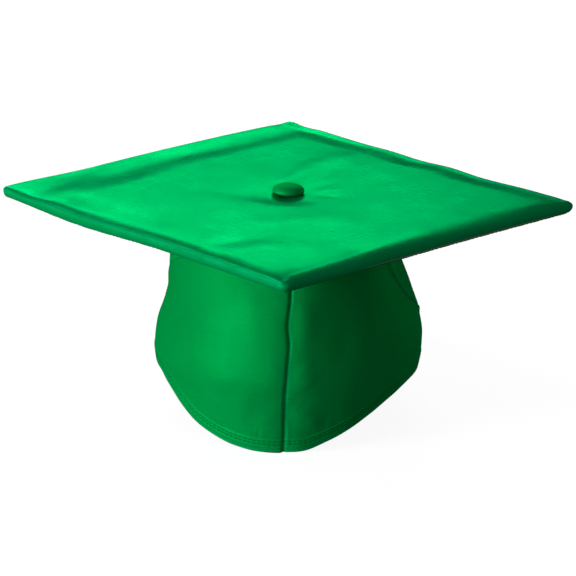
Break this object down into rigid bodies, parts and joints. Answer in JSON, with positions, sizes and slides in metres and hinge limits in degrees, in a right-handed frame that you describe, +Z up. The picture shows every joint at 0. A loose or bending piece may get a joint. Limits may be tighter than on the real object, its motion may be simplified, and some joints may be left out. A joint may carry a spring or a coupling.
{
  "type": "graduation cap",
  "caption": "Square mortarboard cap in satin, with a covered centre button and a stiffened skull cap that dips to a point at the front and stretches at the back.",
  "frame": {"origin": "centre of the cap's box, on the plane that the hem stands on", "axes": "+Z up through the button, -Y the wearer's front, towards the board's front corner, +X the wearer's left"},
  "size_m": [0.336, 0.336, 0.1346],
  "materials": {
    "satin": "green satin with a soft sheen",
    "satin_under": "green satin, dull side",
    "lining": "matt green lining cloth",
    "thread": "polyester sewing thread",
    "chipboard": "uncoated grey-brown board",
    "wadding": "soft polyester wadding",
    "steel": "plain zinc-plated",
    "buckram": "stiff open-weave buckram",
    "elastic": "woven elastic",
    "label": "blank woven tape"
  },
  "bodies": {
    "root": {"board_core": "chipboard", "board_wadding": "wadding", "board_cover_top": "satin", "board_cover_under": "satin_under", "board_edge_stitching": "thread", "crown_panel": "satin_under", "crown_stitching": "thread", "crown_lining": "lining", "front_panel_left": "satin", "front_panel_right": "satin", "stiffener_left": "buckram", "stiffener_right": "buckram", "lining_left": "lining", "lining_right": "lining", "front_seam_stitching": "thread", "hem_stitching": "thread", "side_seam_stitching_left": "thread", "side_seam_stitching_right": "thread"},
    "button": {"button_cover": "satin", "button_shell": "steel", "button_back_plate": "steel", "button_prong": "steel", "prong_washer": "steel"},
    "back": {"back_panel": "satin", "lining_back": "lining", "elastic_band": "elastic", "elastic_casing": "lining", "elastic_stitching": "thread", "size_label": "label"}
  },
  "joints": [
    {"name": "button_spin", "type": "hinge", "parent": "root", "child": "button", "pos_m": [0, 0, 0.125], "axis": [0, 0, 1], "continuous": true},
    {"name": "elastic_stretch", "type": "slide", "parent": "root", "child": "back", "axis": [0, 1, 0], "range_m": [0, 0.04], "stiffness_N_per_m": 200}
  ]
}
